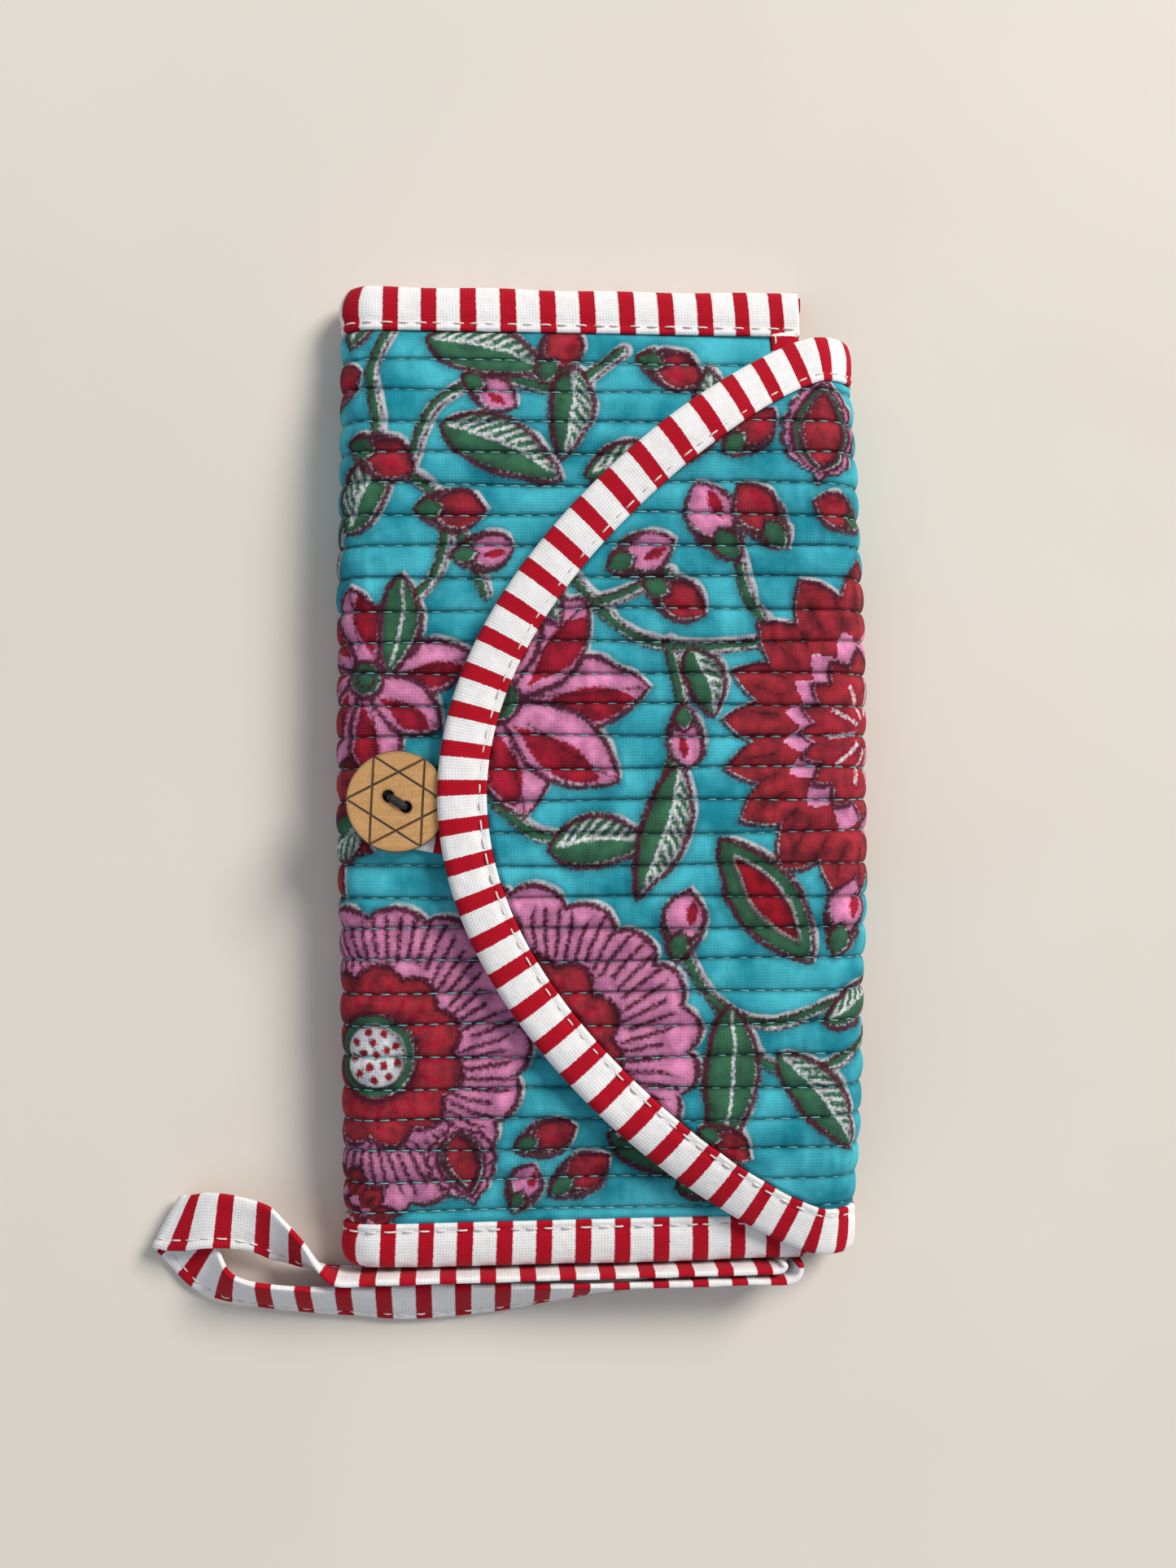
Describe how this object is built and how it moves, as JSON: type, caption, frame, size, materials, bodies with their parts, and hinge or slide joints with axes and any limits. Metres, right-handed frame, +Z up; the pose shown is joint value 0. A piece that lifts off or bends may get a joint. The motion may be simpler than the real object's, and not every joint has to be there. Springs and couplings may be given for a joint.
{
  "type": "wristlet wallet",
  "caption": "Quilted printed-cotton clutch wallet with a curved fold-over flap, wooden button and cloth loop, striped bindings, inner card and zip pockets and a wrist strap.",
  "frame": {"origin": "middle of the flat back that the closed wallet lies on", "axes": "+Z up through the closed wallet, away from its back; +Y along its long side, away from the wrist strap; +X towards the spine that the flap turns about"},
  "size_m": [0.1464, 0.2124, 0.0195],
  "materials": {
    "printed_cotton": "block-printed plain-weave cotton, quilted",
    "striped_cotton": "red and white striped plain-weave cotton",
    "lining_cotton": "undyed plain-weave cotton",
    "batting": "soft cotton wadding",
    "button_wood": "laser-cut and engraved thin wood, bare",
    "button_thread": "twisted sewing thread",
    "zip_tape": "woven zip tape",
    "zip_coil": "nylon coil",
    "zip_metal": "nickel-plated zinc, satin"
  },
  "bodies": {
    "case": {"case_outer_cloth": "printed_cotton", "case_batting": "batting", "case_lining": "lining_cotton", "end_binding_top": "striped_cotton", "end_binding_bottom": "striped_cotton", "mouth_binding": "striped_cotton", "button": "button_wood", "button_thread": "button_thread", "card_pocket_1": "striped_cotton", "card_pocket_2": "striped_cotton", "coin_pouch_cloth": "lining_cotton", "zip_tape_inner": "zip_tape", "zip_tape_outer": "zip_tape", "zip_coil_inner": "zip_coil", "zip_coil_outer": "zip_coil", "zip_bottom_stop": "zip_metal", "wrist_strap": "striped_cotton"},
    "spine": {"spine_outer_cloth": "printed_cotton", "spine_batting": "batting", "spine_lining": "lining_cotton", "spine_binding_top": "striped_cotton", "spine_binding_bottom": "striped_cotton"},
    "flap": {"flap_outer_cloth": "printed_cotton", "flap_batting": "batting", "flap_lining": "lining_cotton", "flap_binding": "striped_cotton", "button_loop": "striped_cotton"},
    "zip_slider": {"zip_slider": "zip_metal"},
    "zip_pull": {"zip_pull": "zip_metal"}
  },
  "joints": [
    {"name": "spine_fold", "type": "hinge", "parent": "case", "child": "spine", "pos_m": [0.05191, 0, 0.00209], "axis": [0, 1, 0], "range_deg": [0, 90], "deforming": ["spine_outer_cloth", "spine_batting", "spine_lining", "spine_binding_top", "spine_binding_bottom"]},
    {"name": "flap_fold", "type": "hinge", "parent": "spine", "child": "flap", "pos_m": [0.05191, 0, 0.01741], "axis": [0, 1, 0], "range_deg": [0, 90], "deforming": ["button_loop"]},
    {"name": "zip_slide", "type": "slide", "parent": "case", "child": "zip_slider", "axis": [0, -1, 0], "range_m": [0, 0.1315]},
    {"name": "zip_pull_swing", "type": "hinge", "parent": "zip_slider", "child": "zip_pull", "pos_m": [0.028, 0.066, 0.008], "axis": [1, 0, 0], "range_deg": [0, 25]}
  ],
  "couplings": [
    {"joint": "flap_fold", "follows": "spine_fold", "ratio": 1}
  ]
}
